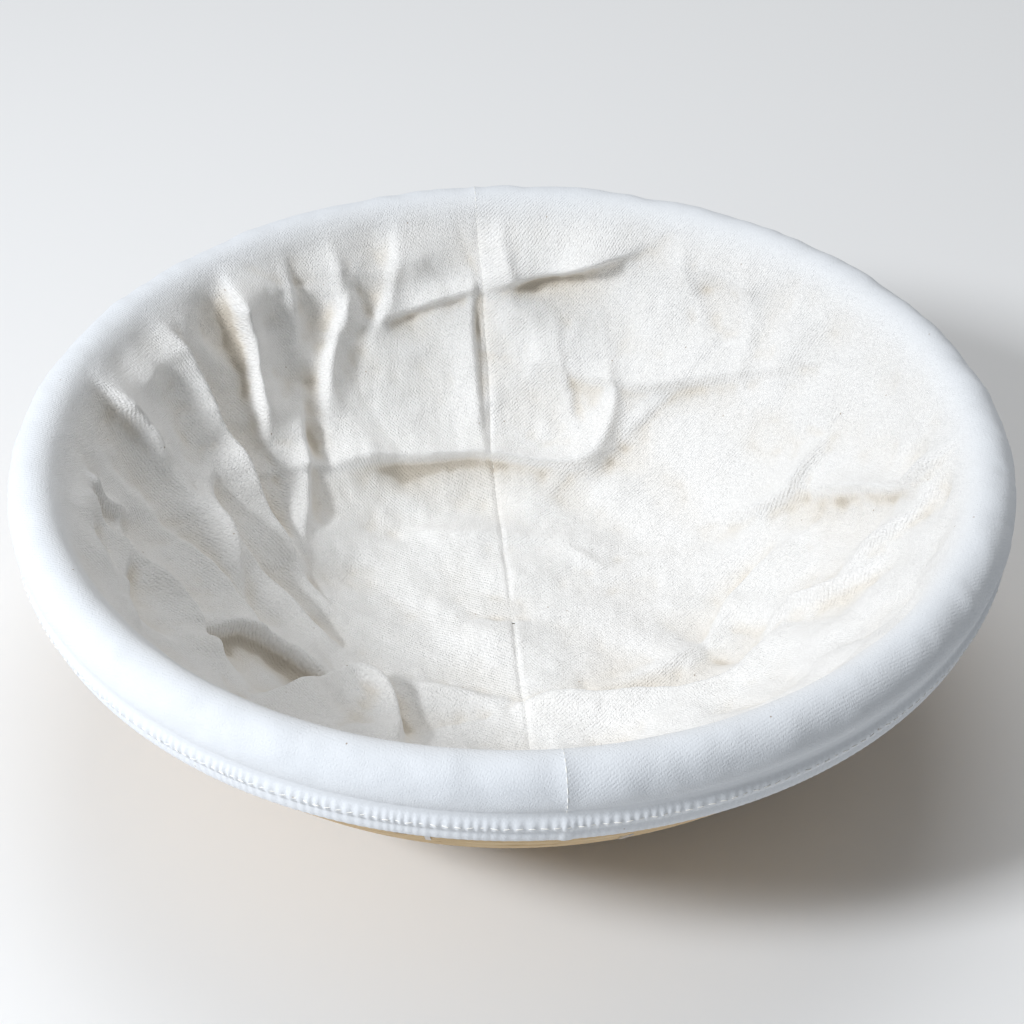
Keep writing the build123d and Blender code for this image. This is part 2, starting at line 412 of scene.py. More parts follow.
# %% Build the courses
AROUND = np.linspace(0, 2 * math.pi, 20, endpoint=False)  # angles round a cane
SCARF_ANGLE = math.radians(15)
HALF_CUT = 0.09 * MM  # half the gap that shows between the two ends of a scarf
STAPLE_ANGLE = math.radians(45)  # from one staple of a course to the next
FIRST_SCARF, SCARF_STEP = math.radians(8) + 0.25 * STAPLE_ANGLE, 1.5 * STAPLE_ANGLE


def drift(s, size, seed):
    """A slow random wave along a cane."""
    local = np.random.default_rng(seed)
    total = np.zeros_like(s)
    for _ in range(4):
        total += np.sin(s / MM * local.uniform(0.02, 0.12) + local.uniform(0, 6.28))
    return size * total / 2


def course(index):
    """One ring of cane, open along its scarf."""
    r, z = centres[index]
    half_gap = HALF_CUT / r / math.sin(SCARF_ANGLE)
    start = FIRST_SCARF + SCARF_STEP * index
    turn = np.linspace(half_gap, 2 * math.pi - half_gap, int(2 * math.pi * r / (2.2 * MM)))[:, None]
    thick = CANE * (0.992 + drift(turn * r, 0.008, index + 40))
    up = thick * np.sin(AROUND)[None]
    out = thick * np.cos(AROUND)[None]
    angle = start + turn + up / math.tan(SCARF_ANGLE) / r
    radius = r + out + drift(turn * r, 0.08 * MM, index + 70)
    height = np.maximum(z + up, 0.0)
    points = np.stack([radius * np.cos(angle), radius * np.sin(angle), height], -1)
    uv = np.stack([turn * r + 0.7 * index + 0 * up, 0 * turn + AROUND[None] * CANE], -1)
    obj = grid_mesh(COURSES[index] + "_cane", points, uv, CANE_SKIN, wrap=True)
    close_ends(obj, len(turn))
    return piece(obj, "basket", "cane", COURSES[index])


def close_ends(obj, rows):
    """Fills the first and last rings of points of a tube, so that the cane has cut ends."""
    sides = len(AROUND)
    mesh = obj.data
    faces = [list(p.vertices) for p in mesh.polygons]
    uv = np.zeros(len(mesh.loops) * 2, np.float32)
    mesh.uv_layers[0].data.foreach_get("uv", uv)
    last = (rows - 1) * sides
    faces += [list(range(sides)), [last + i for i in reversed(range(sides))]]
    points = np.zeros(len(mesh.vertices) * 3)
    mesh.vertices.foreach_get("co", points)
    new = bpy.data.meshes.new(mesh.name + "_closed")
    new.from_pydata(points.reshape(-1, 3), [], faces)
    new.uv_layers.new(name="UVMap").data.foreach_set("uv", np.concatenate([uv, np.zeros(4 * sides)]))
    new.polygons.foreach_set("use_smooth", [len(f) == 4 for f in faces])
    new.materials.append(mesh.materials[0])
    new.update()
    obj.data = new
    bpy.data.meshes.remove(mesh)


made = [course(index) for index in range(len(COURSES))]
print("courses", len(made), "with", sum(len(ring.data.polygons) for ring in made), "faces")

# %% [markdown]
# ### The base spiral
#
# A spiral can be made of half turns on two centres, half a pitch apart: the ones at the back on the
# bowl's axis, the ones at the front beside it. What would run into the base ring is cut off at the
# ring's inner edge. This path isn't the solid's in two ways. It takes every half turn by growing angle,
# so it steps inwards by a whole pitch from each to the next, where the solid's half turns join smoothly
# at their other ends. And its shaved outer arc covers 60 degrees at the right of the front, where the
# solid's covers the 120 degrees to the left of that.

# %% Build the base spiral
TIGHTEST_BEND = 0.7 * 2 * CANE
RING_GAP = 0.03 * MM  # from the shaved side to the base ring


def spiral_path():
    """Centreline of the base spiral, half turn by half turn inwards, and the way out at each point."""
    ring_r = centres[-1][0]
    turns = [(PITCH / 2, ring_r - PITCH / 2, -math.radians(60), 0.0)]
    radius, odd = ring_r - PITCH, False
    while radius > TIGHTEST_BEND:
        turns.append((odd * PITCH / 2, radius, math.pi * odd, math.pi * (odd + 1)))
        radius, odd = radius - PITCH / 2, not odd
    points = []
    for centre, r, a0, a1 in turns:
        count = max(8, int(abs(a1 - a0) * r / (1.6 * MM)))
        angle = np.linspace(a0, a1, count, endpoint=False)
        points += list(zip(centre + r * np.cos(angle), r * np.sin(angle), np.cos(angle), np.sin(angle)))
    return np.array(points)


path = spiral_path()
centre_xy, outward = path[:, :2], path[:, 2:]
run = np.concatenate([[0], np.cumsum(np.linalg.norm(np.diff(centre_xy, axis=0), axis=1))])
thick = CANE * (0.992 + drift(run, 0.008, 5))[:, None]
xy = centre_xy[:, None] + outward[:, None] * (thick * np.cos(AROUND))[..., None]
reach = np.linalg.norm(xy, axis=-1, keepdims=True)
xy *= np.minimum(1.0, (centres[-1][0] - CANE - RING_GAP) / reach)
height = np.maximum(centres[-1][1] + thick * np.sin(AROUND), 0.0)
uv = np.stack([run[:, None] + 9.0 + 0 * height, 0 * run[:, None] + AROUND * CANE], -1)
points = np.concatenate([xy, height[..., None]], -1)
spiral = grid_mesh("base_spiral_cane", points, uv, CANE_SKIN, wrap=True)
close_ends(spiral, len(path))
piece(spiral, "basket", "cane", "base_spiral")
for node in ("wall_staples", "base_staples", "scarf_pins"):
    repaint(node, STEEL)
print("spiral points", len(path))

# %% [markdown]
# ## The cloth
#
# The liner is drawn as a flat disc: (x, y) on the disc is the distance from the centre along the
# cloth, in the direction of the place on the bowl. A fold is a line on the bowl with a height, a
# reach on each side of it and a lean. A short reach on one side makes a steep flank, and the lean
# pushes the crest over that flank, so that it overhangs. A positive lean goes to the left of the
# line's direction.

# %% Folds, seen from above in millimetres
# Each is (points, height, reach to the left, reach to the right, lean).
FOLDS = [
    # the swag under the rim on the back wall, right then left of the seam
    ([(-2, 91), (13, 93), (24, 92), (33, 91), (44, 88)], 7.5, 11, 2.2, -3.4),
    ([(-1, 92), (-12, 90), (-22, 87), (-30, 83)], 5.4, 2.2, 12, 2.6),
    # the left panel laps over the right one
    ([(-2, 95), (-4, 86), (-4, 74), (-2, 60)], 2.6, 1.0, 7, 1.4),
    # the pocket in the middle of the back wall
    ([(-46, 48), (-34, 55), (-20, 59), (-4, 60), (12, 56), (24, 53), (34, 56)], 9.5, 15, 3.0, -4.4),
    ([(22, 52), (29, 57), (32, 64), (32, 74)], 5.0, 7, 2.6, -1.6),
    # right half of the back wall
    ([(8, 78), (19, 75), (30, 70), (42, 65), (54, 61), (66, 55), (76, 48)], 5.6, 14, 3.0, -2.6),
    ([(51, 88), (55, 75), (60, 63)], 2.2, 1.8, 5, 0),
    ([(66, 76), (68, 64), (64, 52)], 2.6, 3, 7, 0.6),
    ([(80, 64), (76, 54), (71, 45)], 2.4, 5, 2.4, 0),
    # the strong pleat at the back left, and the bulge that hangs over the trough below it
    ([(-66, 86), (-65, 76), (-62, 67), (-61, 57), (-58, 47)], 9.0, 11, 1.9, -3.6),
    ([(-82, 58), (-77, 53), (-72, 45), (-66, 37), (-60, 28), (-52, 17)], 9.0, 2.2, 14, 3.6),
    # light pleats under the back left rim
    ([(-52, 91), (-50, 82), (-49, 71)], 2.8, 2, 6, 0),
    ([(-39, 97), (-38, 87), (-36, 78)], 2.4, 4, 2, 0),
    ([(-20, 99), (-25, 90), (-30, 80)], 2.8, 4, 2, 0),
    ([(5, 102), (7, 96), (8, 90)], 2.4, 2, 4, 0),
    # the pointed fold
    ([(-35, 88), (-38, 80), (-42, 70), (-44, 60)], 6.4, 5, 2.6, -1.8),
    ([(-50, 66), (-51, 52), (-51, 36), (-52, 20)], 4.6, 2.2, 6, 1.4),
    # the left wall
    ([(-98, 38), (-93, 33), (-87, 32), (-82, 26)], 5.6, 6, 2.2, -2.2),
    ([(-98, 3), (-94, 2), (-88, 7)], 4.2, 5, 1.8, -1.6),
    ([(-91, 8), (-90, -10), (-88, -30), (-84, -46)], 3.2, 2.4, 7, 1.0),
    ([(-97, -12), (-92, -22), (-86, -30)], 2.2, 2.4, 4, 0),
    # diagonal ridges at the front left
    ([(-94, -6), (-84, -13), (-75, -24), (-69, -40)], 6.5, 2.4, 10, 2.4),
    ([(-79, 8), (-71, -2), (-63, -13)], 5.0, 2.4, 7, 1.8),
    ([(-74, 20), (-64, 8), (-52, -3), (-41, -12)], 6.0, 2.2, 10, 2.4),
    ([(-73, 34), (-73, 20), (-69, 7), (-65, -5)], 4.6, 2.0, 7, 1.6),
    ([(-75, -24), (-67, -16), (-58, -16), (-48, -20), (-40, -25)], 7.5, 8, 2.0, -3.6),
    # the petal on the floor at the front left
    ([(-60, -46), (-53, -37), (-44, -28), (-36, -24), (-32, -28), (-31, -38), (-31, -54)], 8.5, 2.0, 14, 3.0),
    # the fold at the front right, and the slope that runs down to it
    ([(-5, -31), (5, -29), (16, -31), (28, -33), (40, -37), (49, -36), (56, -30), (63, -21)],
     6.5, 1.5, 11, 2.4),
    ([(14, -25), (26, -22), (36, -19), (45, -15), (53, -9)], 5.4, 4, 9, -1.0),
    ([(56, -24), (64, -18), (74, -22), (84, -24)], 4.4, 4, 1.9, -1.5),
    ([(44, -16), (50, -8), (58, 0), (70, 6)], 4.0, 2.4, 8, 1.2),
    # lines on the floor
    ([(-30, 42), (-14, 35), (0, 33), (16, 30), (30, 26)], 3.2, 8, 5, -0.6),
    ([(14, 28), (20, 22), (26, 18)], 1.4, 2, 2, 0),
    ([(16, 14), (30, 16), (44, 20)], 2.2, 5, 4, 0),
    ([(-30, -20), (-14, -24), (-2, -28)], 3.2, 2.2, 6, 1.0),
    # the right wall
    ([(80, 28), (74, 22), (68, 20), (56, 24)], 4.6, 2.2, 8, 1.6),
    ([(74, 18), (82, 9), (90, -2), (96, -9), (102, -6)], 6.4, 8, 2.2, -3.0),
    ([(97, -14), (90, -17), (82, -17), (75, -21)], 4.0, 2, 8, 1.5),
]

# Painted beige shade along some folds, where they fall in shade: the same kind of line, with a strength of
# tone in place of the height.
SHADE_LINES = [
    ([(10, -24), (20, -25), (31, -24), (42, -24), (50, -18)], 1.2, 5, 6, 0),
    ([(-44, 45), (-33, 52), (-19, 56), (-4, 57), (12, 53), (23, 50)], 0.9, 2, 4, 0),
    ([(-74, -27), (-66, -20), (-57, -19), (-48, -23), (-41, -28)], 0.9, 2.5, 4, 0),
    ([(74, 15), (82, 6), (90, -4), (96, -11)], 0.9, 2, 3.5, 0),
    ([(0, 88), (12, 90), (24, 89), (33, 88)], 0.8, 1.8, 3.5, 0),
]
print("folds", len(FOLDS), "and lines of tone", len(SHADE_LINES))

# %% [markdown]
# ### From lines to heights
#
# Every point of the cloth looks for the nearest place on a fold's line. Its height falls off with the
# distance, more quickly on the short side, and fades out at both ends of the line. All folds are added
# up on a fine grid over the disc, with soft random waves between them. The grid is blurred a little,
# so that no edge is left where a line bends, and it is read between its points by cubic weights.


# %% The shape of one fold
def through(points, per=6):
    """A smooth line through the points."""
    p = np.array(points, float)
    p = np.vstack([2 * p[0] - p[1], p, 2 * p[-1] - p[-2]])
    t = np.linspace(0, 1, per, endpoint=False)[:, None]
    found = []
    for a, b, c, d in zip(p, p[1:], p[2:], p[3:]):
        found.append(b + 0.5 * t * (c - a + t * (2 * a - 5 * b + 4 * c - d + t * (3 * b - a - 3 * c + d))))
    return np.vstack(found + [p[-2:-1]])


def on_disc(points):
    """Places on the bowl seen from above, in millimetres, as places on the flat disc."""
    xy = np.array(points) * MM
    r = np.linalg.norm(xy, axis=1)
    wall = skin.along <= ROLL_TOP
    s = np.interp(r, skin.points[wall, 0], skin.along[wall])
    return xy * (s / np.maximum(r, 1e-9))[:, None]


def one_fold(x, y, line, height, left, right, lean):
    """Height of a fold at (x, y) on the disc, and how far it shifts the cloth there."""
    pieces = list(zip(line, line[1:]))
    total = sum(np.linalg.norm(b - a) for a, b in pieces)
    nearest = np.full(x.shape, 1e9)
    share, side, turn_x, turn_y = (np.zeros(x.shape) for _ in range(4))
    done = 0.0
    for a, b in pieces:
        d = b - a
        size = np.linalg.norm(d)
        t = np.clip(((x - a[0]) * d[0] + (y - a[1]) * d[1]) / size**2, 0, 1)
        dx, dy = x - a[0] - t * d[0], y - a[1] - t * d[1]
        far = np.hypot(dx, dy)
        closer = far < nearest
        nearest = np.where(closer, far, nearest)
        share = np.where(closer, (done + t * size) / total, share)
        side = np.where(closer, d[0] * dy - d[1] * dx, side)
        turn_x, turn_y = np.where(closer, -d[1] / size, turn_x), np.where(closer, d[0] / size, turn_y)
        done += size
    reach = np.where(side > 0, left, right) * MM
    fade = np.sin(math.pi * np.clip(share, 0.02, 0.98)) ** 0.55
    blunt = 0.012  # takes the point off the crest
    rise = fade * np.exp(-((np.sqrt((nearest / reach) ** 2 + blunt) - blunt**0.5) ** 1.15))
    push = lean * MM * rise**1.5
    return height * MM * rise, push * turn_x, push * turn_y


def waves(x, y, seed, count, low, high):
    """A random sum of bent waves, with low to high radians to the millimetre."""
    local = np.random.default_rng(seed)
    total = np.zeros(x.shape)
    for _ in range(count):
        way, start, k = local.uniform(0, 6.28), local.uniform(0, 6.28), local.uniform(low, high) / MM
        bend = np.sin(k * 0.6 * (x * math.cos(way + 1.1) + y * math.sin(way + 1.1)))
        total += np.sin(k * (x * math.cos(way) + y * math.sin(way)) + start + 1.5 * bend)
    return total / math.sqrt(count)


print("one fold ready")

# %% Add up the folds
FINE = 370  # cells across the grid
HALF = ROLL_TOP + 2 * MM  # half the width of the grid


def soften(grid, cells):
    """The grid blurred by a bell curve of that many cells."""
    steps = np.arange(-int(3 * cells) - 1, int(3 * cells) + 2)
    bell = np.exp(-0.5 * (steps / cells) ** 2)
    bell /= bell.sum()
    for axis in (0, 1):
        grid = np.apply_along_axis(np.convolve, axis, grid, bell, "same")
    return grid


def added_up(folds, x, y, cell):
    """Sum of the folds' heights and of their shifts, each worked out only near its line."""
    height, shift_x, shift_y = (np.zeros(x.shape) for _ in range(3))
    for points, rise, left, right, lean in folds:
        path = on_disc(through(points))
        room = 4 * max(left, right) * MM
        low, high = (path.min(0) - room + HALF) / cell, (path.max(0) + room + HALF) / cell
        window = tuple(slice(max(int(a), 0), int(b) + 2) for a, b in zip(low, high))
        h, dx, dy = one_fold(x[window], y[window], path, rise, left, right, lean)
        height[window] += h
        shift_x[window] += dx
        shift_y[window] += dy
    return height, shift_x, shift_y


def fold_field():
    """The folded cloth on a square grid over the disc: height, shift in x and y, and the painted shade of its
    creases.
    """
    line = np.linspace(-HALF, HALF, FINE + 1)
    cell = 2 * HALF / FINE
    x, y = np.meshgrid(line, line, indexing="ij")
    height, shift_x, shift_y = added_up(FOLDS, x, y, cell)
    # painted shade along the lines of tone, added into the creases' painted shade below
    tone = added_up(SHADE_LINES, x, y, cell)[0] / MM
    height += np.maximum(1.8 + 1.5 * waves(x, y, 7, 9, 0.11, 0.26), 0) * MM  # slack between folds
    height += waves(x, y, 8, 14, 0.5, 1.3) * 0.13 * MM  # crumples
    height = soften(height, 0.5 * MM / cell)
    # painted shade: where the cloth lies lower than its blurred surroundings, and along the lines of tone, it
    # is painted beige
    narrow = (soften(height, 2.2 * MM / cell) - height) / (0.8 * MM) - 0.2
    broad = (soften(height, 5 * MM / cell) - height) / (2.2 * MM) - 0.1
    crease_shade = np.clip(np.maximum(narrow, broad * 0.5) + tone * 0.55, 0, 1)
    s = np.hypot(x, y)
    fade = np.clip((ROLL_TOP - 4 * MM - s) / (13 * MM), 0, 1)
    fade = fade * fade * (3 - 2 * fade)
    field = [height, soften(shift_x, 1.2 * MM / cell), soften(shift_y, 1.2 * MM / cell), crease_shade]
    return np.stack(field, -1) * fade[..., None]


def cubic_weights(t):
    """Weights of the four grid points round a place that is t of the way from the second."""
    return [
        0.5 * (-t + 2 * t**2 - t**3),
        0.5 * (2 - 5 * t**2 + 3 * t**3),
        0.5 * (t + 4 * t**2 - 3 * t**3),
        0.5 * (-(t**2) + t**3),
    ]


def cubic(grid, x, y):
    """The value of a grid (rows, columns, numbers) over the disc at (x, y), smooth between its points."""
    last = grid.shape[0] - 1
    x, y = (x + HALF) / (2 * HALF) * last, (y + HALF) / (2 * HALF) * last
    i, j = np.floor(x).astype(int), np.floor(y).astype(int)
    total = 0.0
    for a, wa in enumerate(cubic_weights(x - i)):
        for b, wb in enumerate(cubic_weights(y - j)):
            ia, jb = np.clip(i + a - 1, 0, last), np.clip(j + b - 1, 0, last)
            total = total + grid[ia, jb] * (wa * wb)[..., None]
    return total


field = fold_field()


def folded(x, y):
    """Height of the folded cloth off the lining at (x, y), its shift along the disc, and the painted shade of
    its creases.
    """
    height, shift_x, shift_y, crease_shade = np.moveaxis(cubic(field, x, y), -1, 0)
    fade = np.clip((ROLL_TOP - 5 * MM - np.hypot(x, y)) / (12 * MM), 0, 1)
    seam = np.exp(-((x / (0.7 * MM)) ** 2)) * 0.45 * MM * fade
    return np.maximum(height - seam, 0), shift_x, shift_y, np.clip(crease_shade, 0, 1)


print("highest fold", round(float(field[..., 0].max()) / MM, 1), "mm")

# %% [markdown]
# ### Relaxing the folds
#
# A coarse copy of the cloth is simulated for a moment: pinned on the rim, with weight, lying on the
# bowl. Only the difference that makes is kept. It is blurred a little, so that the coarse cells don't
# show, and then added to the fine cloth. There is nothing random in it.

# %% Simulate
CELLS, FRAMES = 104, 14  # cells across the coarse cloth, and frames of simulation


def bowl_collider():
    """The surface of the cane that the cloth lies on."""
    under = Line(line_at(CANE + 0.1 * MM, math.pi / 2))
    angle = np.linspace(0, 2 * math.pi, 96, endpoint=False)
    r, z = under.points[:, 0][:, None], under.points[:, 1][:, None]
    points = np.stack([r * np.cos(angle), r * np.sin(angle), z + 0 * angle], -1)
    obj = grid_mesh("bowl", points, np.zeros(points.shape[:2] + (2,)), ELASTIC, wrap=True)
    obj.modifiers.new("collision", "COLLISION")
    obj.collision.thickness_outer = 0.4 * MM
    obj.collision.thickness_inner = 4 * MM
    obj.collision.cloth_friction = 25
    obj.collision.use_culling = False
    return obj


def relaxed_shift():
    """How far the simulation moves each point of the coarse cloth, as a grid (rows, columns, 3)."""
    line = np.linspace(-HALF, HALF, CELLS + 1)
    x, y = np.meshgrid(line, line, indexing="ij")
    shift = np.zeros(x.shape + (3,))
    used = np.hypot(x, y) <= HALF
    height, shift_x, shift_y, _ = folded(x, y)
    start = skin.place(x + shift_x, y + shift_y, height)
    index = np.full(x.shape, -1)
    index[used] = np.arange(used.sum())
    quads = np.stack([index[:-1, :-1], index[1:, :-1], index[1:, 1:], index[:-1, 1:]], -1).reshape(-1, 4)
    quads = quads[quads.min(1) >= 0]
    mesh = bpy.data.meshes.new("coarse")
    mesh.from_pydata(start[used], [], quads)
    obj = add_to_scene("coarse", mesh)
    pins = obj.vertex_groups.new(name="pins")
    s = np.hypot(x, y)[used]
    for i, weight in enumerate(np.clip((s - ROLL_TOP + 12 * MM) / (8 * MM), 0, 1)):
        if weight > 0:
            pins.add([i], float(weight), "REPLACE")
    bowl = bowl_collider()
    cloth = obj.modifiers.new("cloth", "CLOTH")
    stuff = cloth.settings
    stuff.quality, stuff.mass, stuff.air_damping = 5, 0.2, 2
    stuff.tension_stiffness = stuff.compression_stiffness = 15
    stuff.shear_stiffness, stuff.bending_stiffness = 6, 0.8
    stuff.vertex_group_mass, stuff.pin_stiffness = "pins", 5
    stuff.shrink_min = -0.002
    touch = cloth.collision_settings
    touch.distance_min, touch.collision_quality = 0.5 * MM, 2
    scene = bpy.context.scene
    for moment in range(1, FRAMES + 1):
        scene.frame_set(moment)
    done = obj.evaluated_get(bpy.context.evaluated_depsgraph_get())
    end = np.zeros(len(mesh.vertices) * 3)
    done.data.vertices.foreach_get("co", end)
    scene.frame_set(1)
    shift[used] = end.reshape(-1, 3) - start[used]
    for helper in (obj, bowl):
        bpy.data.objects.remove(helper)
    return shift


shift = relaxed_shift()
shift = np.stack([soften(shift[..., i], 1.7) for i in range(3)], -1)
moved = np.linalg.norm(shift, axis=-1)
print("relaxed by up to", round(float(moved.max()) / MM, 2), "mm, mean", round(float(moved.mean()) / MM, 2))

# %% [markdown]
# ### The panels
#
# Each panel is a half disc of rows and columns, laid on the line with its folds and the relaxed shift.
# The cloth on the roll is tight, so it has only soft unevenness, the ridge of the seam, and near its
# end the gathers of the hem.


# %% Build the two panels
def gathers(angle):
    """Ripple of the gathered hem round the basket, from -1 to 1, strongest at the front left."""
    strength = 0.5 + 0.5 * np.cos(angle - math.radians(225))
    beat = angle * 372 + 2.6 * np.sin(angle * 17) + 1.8 * np.sin(angle * 41 + 1)
    return strength * np.sin(beat)


SEAM_REACH = 1.3 * MM  # how far to each side the seam's ridge is felt on the roll and on the hem


def roll_shape(x, y):
    """Height of the cloth on the roll: soft unevenness, the hem's gathers and the seam's ridge."""
    s, angle = np.hypot(x, y), np.arctan2(y, x)
    on = np.clip((s - ROLL_TOP + 4 * MM) / (6 * MM), 0, 1) * np.clip((skin.length - s) / (5 * MM), 0, 1)
    soft = waves(x, y, 21, 10, 0.10, 0.35) * 0.18 + waves(x, y, 22, 12, 0.5, 1.0) * 0.07
    low = np.clip((s - ROLL_TOP - 5 * MM) / (7 * MM), 0, 1)
    ridge = np.exp(-(np.abs(x) / SEAM_REACH) ** 2) * 0.34
    return on * (soft + ridge) * MM + low * gathers(angle) * 0.05 * MM


def panel(side, name, node):
    """One half of the liner. side is -1 for the left panel and 1 for the right one."""
    s = np.concatenate([np.linspace(0.4 * MM, ROLL_TOP, 178), np.linspace(ROLL_TOP, skin.length, 27)[1:]])
    turn = np.linspace(-math.pi / 2, math.pi / 2, 331)
    x = side * s[:, None] * np.cos(turn)[None]
    y = s[:, None] * np.sin(turn)[None]
    height, shift_x, shift_y, crease_shade = folded(x, y)
    points = skin.place(x + shift_x, y + shift_y, height + roll_shape(x, y))
    free = np.clip((ROLL_TOP - 12 * MM - np.hypot(x, y)) / (12 * MM), 0, 1)[..., None]
    points += free**2 * (3 - 2 * free) * cubic(shift, x, y)
    uv = np.stack([np.abs(x), y], -1)
    if side > 0:
        points, uv, crease_shade = points[:, ::-1], uv[:, ::-1], crease_shade[:, ::-1]
    obj = grid_mesh(name, points, uv, COTTON)
    attribute = obj.data.attributes.new("crease_shade", "FLOAT", "POINT")
    attribute.data.foreach_set("value", crease_shade.astype(np.float32).ravel())
    piece(obj, "liner", "cotton", node)
    seam = points[:, 0 if side < 0 else -1], points[:, -1 if side < 0 else 0]
    return obj, seam


left, seam_ends = panel(-1, "liner_left", "liner_left_panel")
right, _ = panel(1, "liner_right", "liner_right_panel")
for half in (left, right):
    print(half.name, "faces", len(half.data.polygons), "area", round(area(half), 4))

# %% [markdown]
# ## The hem
#
# Under the rim the cloth narrows to a neck and then wraps the elastic. The casing is one strip,
# folded down, round and back up, with the gathers that the elastic draws it into. Its section is a list
# of points beside the wall's first step: how far down along the step, and how far out from it.

# %% Build the hem casing
LEAN = math.atan2(centres[0][0] - centres[1][0], centres[0][1] - centres[1][1])
SECTION = [
    (1.0, SKIN - 0.30 * MM),
    (2.4, SKIN - 0.10 * MM),
    (3.4, SKIN),
    (4.0, SKIN + 0.80 * MM),
    (4.8, SKIN + 1.30 * MM),
    (6.4, SKIN + 1.35 * MM),
    (7.3, SKIN + 0.70 * MM),
    (8.2, SKIN + 1.25 * MM),
    (9.8, SKIN + 1.35 * MM),
    (11.0, SKIN + 1.00 * MM),
    (11.6, SKIN + 0.20 * MM),
    (11.2, CANE + 0.45 * MM),
    (9.8, CANE + 0.35 * MM),
    (5.0, CANE + 0.35 * MM),
    (1.4, CANE + 0.35 * MM),
]
HEM_STITCH = 4.6 * MM  # distance along the section to the row of stitches


def beside(down, out):
    """Radius and height of a point beside the wall's first step: down along it, and out from it."""
    return (
        RIM_R - down * math.sin(LEAN) + out * math.cos(LEAN),
        RIM_Z - down * math.cos(LEAN) - out * math.sin(LEAN),
    )


section = Line(rounded(np.array([beside(down * MM, out) for down, out in SECTION]), 2))


def hem_points(s, angle):
    """Points of the casing at a distance along its section and an angle round the basket."""
    r, z = section.at(s)
    nr, nz = section.normal(s, 0.4 * MM)
    outer = np.clip((s - 1.5 * MM) / (2.5 * MM), 0, 1) * np.clip((13 * MM - s) / (3 * MM), 0, 1)
    upper = np.exp(-(((s - HEM_STITCH) / (1.9 * MM)) ** 2)) + 0.35
    ridge = np.exp(-(np.abs(r * np.cos(angle)) / SEAM_REACH) ** 2) * 0.3
    rise = outer * (gathers(angle + 0.6 * (s - 6 * MM)) * 0.11 * upper + ridge) * MM
    r, z = r + nr * rise, z + nz * rise
    return np.stack([r * np.cos(angle), r * np.sin(angle), z + 0 * angle], -1)


s = np.linspace(0, section.length, 34)[:, None]
angle = np.linspace(0, 2 * math.pi, 2800, endpoint=False)[None]
# painted cool shade: this offset puts the hem past the rim, so it takes the darker, bluer colour painted
# there
beyond_panels = 0.2  # metres, so that the hem has the tone of the cloth over the rim
uv = np.stack([s + beyond_panels + 0 * angle, 0 * s + angle * RIM_R], -1)
casing = grid_mesh("hem", hem_points(s, angle), uv, HEM_COTTON, wrap=True)
hem = piece(casing, "liner", "cotton", "hem_casing")
repaint("hem_elastic", ELASTIC)
print("hem width along the cloth", round(section.length / MM, 1), "mm, faces", len(hem.data.polygons))

# %% [markdown]
# ## Stitches
#
# One Geometry Nodes group lays stitches along a line: it resamples the line at the stitch spacing
# and puts a small rounded stitch at each point, turned along the line. The lines are read off the
# finished cloth, so the stitches lie in it.


# %% The stitch group
def stitch_group():
    """Geometry Nodes that turn a line into a row of stitches."""
    group = bpy.data.node_groups.new("stitches", "GeometryNodeTree")
    face = group.interface
    face.new_socket("Geometry", in_out="INPUT", socket_type="NodeSocketGeometry")
    for name, value in (("Spacing", 2.5), ("Length", 1.8), ("Thickness", 0.35)):
        socket = face.new_socket(name, in_out="INPUT", socket_type="NodeSocketFloat")
        socket.default_value = value * MM
    face.new_socket("Seed", in_out="INPUT", socket_type="NodeSocketInt")
    face.new_socket("Material", in_out="INPUT", socket_type="NodeSocketMaterial")
    face.new_socket("Geometry", in_out="OUTPUT", socket_type="NodeSocketGeometry")
    nodes, links = group.nodes, group.links
    given, result = nodes.new("NodeGroupInput"), nodes.new("NodeGroupOutput")

    def add(kind, settings=None, **inputs):
        node = nodes.new(kind)
        for key, value in (settings or {}).items():
            setattr(node, key, value)
        for key, value in inputs.items():
            socket = node.inputs[key.replace("_", " ")]
            if isinstance(value, bpy.types.NodeSocket):
                links.new(value, socket)
            else:
                socket.default_value = value
        return node

    curve = add("GeometryNodeMeshToCurve", Mesh=given.outputs["Geometry"])
    spacing = given.outputs["Spacing"]
    points = add("GeometryNodeCurveToPoints", {"mode": "LENGTH"}, Curve=curve.outputs[0], Length=spacing)
    turned = add("FunctionNodeAlignRotationToVector", {"axis": "X"}, Vector=points.outputs["Tangent"])
    vary = add("FunctionNodeRandomValue", {"data_type": "FLOAT"}, Seed=given.outputs["Seed"])
    vary.inputs[2].default_value, vary.inputs[3].default_value = 0.88, 1.08
    long = add("ShaderNodeMath", {"operation": "MULTIPLY"})
    links.new(given.outputs["Length"], long.inputs[0])
    links.new(vary.outputs[1], long.inputs[1])
    thick = given.outputs["Thickness"]
    size = add("ShaderNodeCombineXYZ", X=long.outputs[0], Y=thick, Z=thick)
    bead = add("GeometryNodeMeshUVSphere", Segments=10, Rings=7, Radius=0.5)
    smooth = add("GeometryNodeSetShadeSmooth", Geometry=bead.outputs[0])
    placed = add(
        "GeometryNodeInstanceOnPoints",
        Points=points.outputs[0],
        Instance=smooth.outputs[0],
        Rotation=turned.outputs[0],
        Scale=size.outputs[0],
    )
    real = add("GeometryNodeRealizeInstances", Geometry=placed.outputs[0])
    painted = add("GeometryNodeSetMaterial", Geometry=real.outputs[0], Material=given.outputs["Material"])
    links.new(painted.outputs[0], result.inputs[0])
    return group


STITCHES = stitch_group()
print("stitch group with", len(STITCHES.nodes), "nodes")


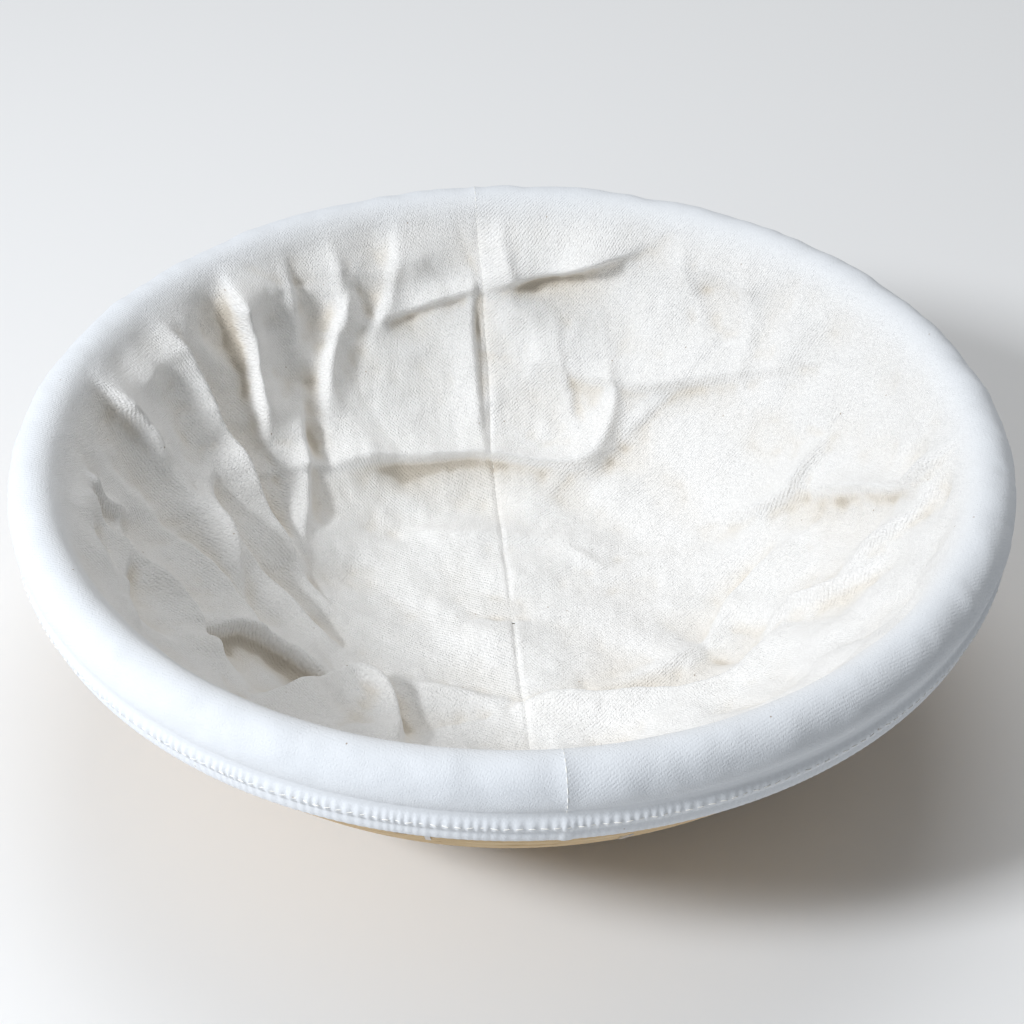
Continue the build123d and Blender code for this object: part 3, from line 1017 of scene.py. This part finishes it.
# %% Sew the rows
def stitch_row(name, line, spacing, length, thickness, seed, node):
    """A row of stitches along a line of points, in place of a CAD thread."""
    mesh = bpy.data.meshes.new(name + "_line")
    mesh.from_pydata(line, [(i, i + 1) for i in range(len(line) - 1)], [])
    maker = add_to_scene(name + "_line", mesh)
    modifier = maker.modifiers.new("stitches", "NODES")
    modifier.node_group = STITCHES
    values = {"Spacing": spacing * MM, "Length": length * MM, "Thickness": thickness * MM, "Seed": seed}
    values["Material"] = THREAD
    for item in STITCHES.interface.items_tree:
        if item.in_out == "INPUT" and item.name in values:
            modifier[item.identifier] = values[item.name]
    bpy.context.view_layer.update()
    made = bpy.data.meshes.new_from_object(maker.evaluated_get(bpy.context.evaluated_depsgraph_get()))
    bpy.data.objects.remove(maker)
    return piece(add_to_scene(name, made), "liner", "thread", node)


front, back = seam_ends
seam_line = np.vstack([back[::-1], front])
seam_line[:, 2] -= 0.05 * MM  # the thread is pulled into the cloth
seam_row = stitch_row("seam_stitches", seam_line, 2.0, 1.4, 0.22, 3, "seam_thread")
ring_angle = np.linspace(0, 2 * math.pi, 2000)
hem_line = hem_points(np.full(ring_angle.shape, HEM_STITCH), ring_angle)
hem_row = stitch_row("hem_stitches", hem_line, 2.4, 1.6, 0.26, 4, "hem_thread")
print("stitch faces", len(seam_row.data.polygons), len(hem_row.data.polygons))

# %% [markdown]
# ### The cloth's flat sizes
#
# Each panel is cut from a half disc whose radius is the whole line, from the axis to the groove below
# the roll. The hem is a strip as wide as its section is long, gathered round the rim.

# %% [markdown]
# ## Light and camera
#
# A pale floor, a small cool window of light at the left and a little in front, a wide one above and
# behind, and a weak even room light. The camera stands a little to the left of the front and looks
# down into the bowl.

# %% Stage
floor_finish = Shader("floor", Roughness=0.9)
floor_finish.set("Base Color", (0.82, 0.82, 0.82, 1.0))
corners = [(-6, -6), (6, -6), (6, 6), (-6, 6)]
floor_mesh = bpy.data.meshes.new("floor")
floor_mesh.from_pydata([(x, y, -0.1 * MM) for x, y in corners], [], [(0, 1, 2, 3)])
floor_mesh.materials.append(floor_finish.material)
floor = add_to_scene("floor", floor_mesh)


def window(name, place, size, power, colour):
    """A square soft light that faces the bowl."""
    light = bpy.data.lights.new(name, "AREA")
    light.size, light.energy, light.color = size, power, colour
    obj = add_to_scene(name, light)
    obj.location = place
    obj.rotation_euler = (Vector((0, 0, 0.04)) - Vector(place)).to_track_quat("-Z", "Y").to_euler()
    return obj


window("key", (-0.76, -0.36, 0.68), 0.20, 10.0, (0.93, 0.96, 1.0))
window("fill", (0.1, 0.6, 1.3), 0.9, 6.9, (1.0, 0.99, 0.975))
world = bpy.data.worlds.new("room")
world.use_nodes = True
room_light = world.node_tree.nodes["Background"].inputs
room_light["Color"].default_value = (0.90, 0.95, 1.0, 1.0)
room_light["Strength"].default_value = 0.27
bpy.context.scene.world = world

camera_data = bpy.data.cameras.new("camera")
camera_data.sensor_width, camera_data.lens, camera_data.clip_start = 36, 77.3, 0.01
camera = add_to_scene("camera", camera_data)
to_left, looking_down = math.radians(5.3), math.radians(38.0)
away, above = 0.396, 0.291  # from the bowl's axis, and above the rim
camera.location = (-math.sin(to_left) * away, -math.cos(to_left) * away, RIM_Z + above)
camera.rotation_euler = (math.pi / 2 - looking_down, 0, -to_left)
bpy.context.scene.camera = camera
bpy.context.scene.view_settings.view_transform = "Standard"
print("lights key and fill, camera", round(away, 3), "m away")
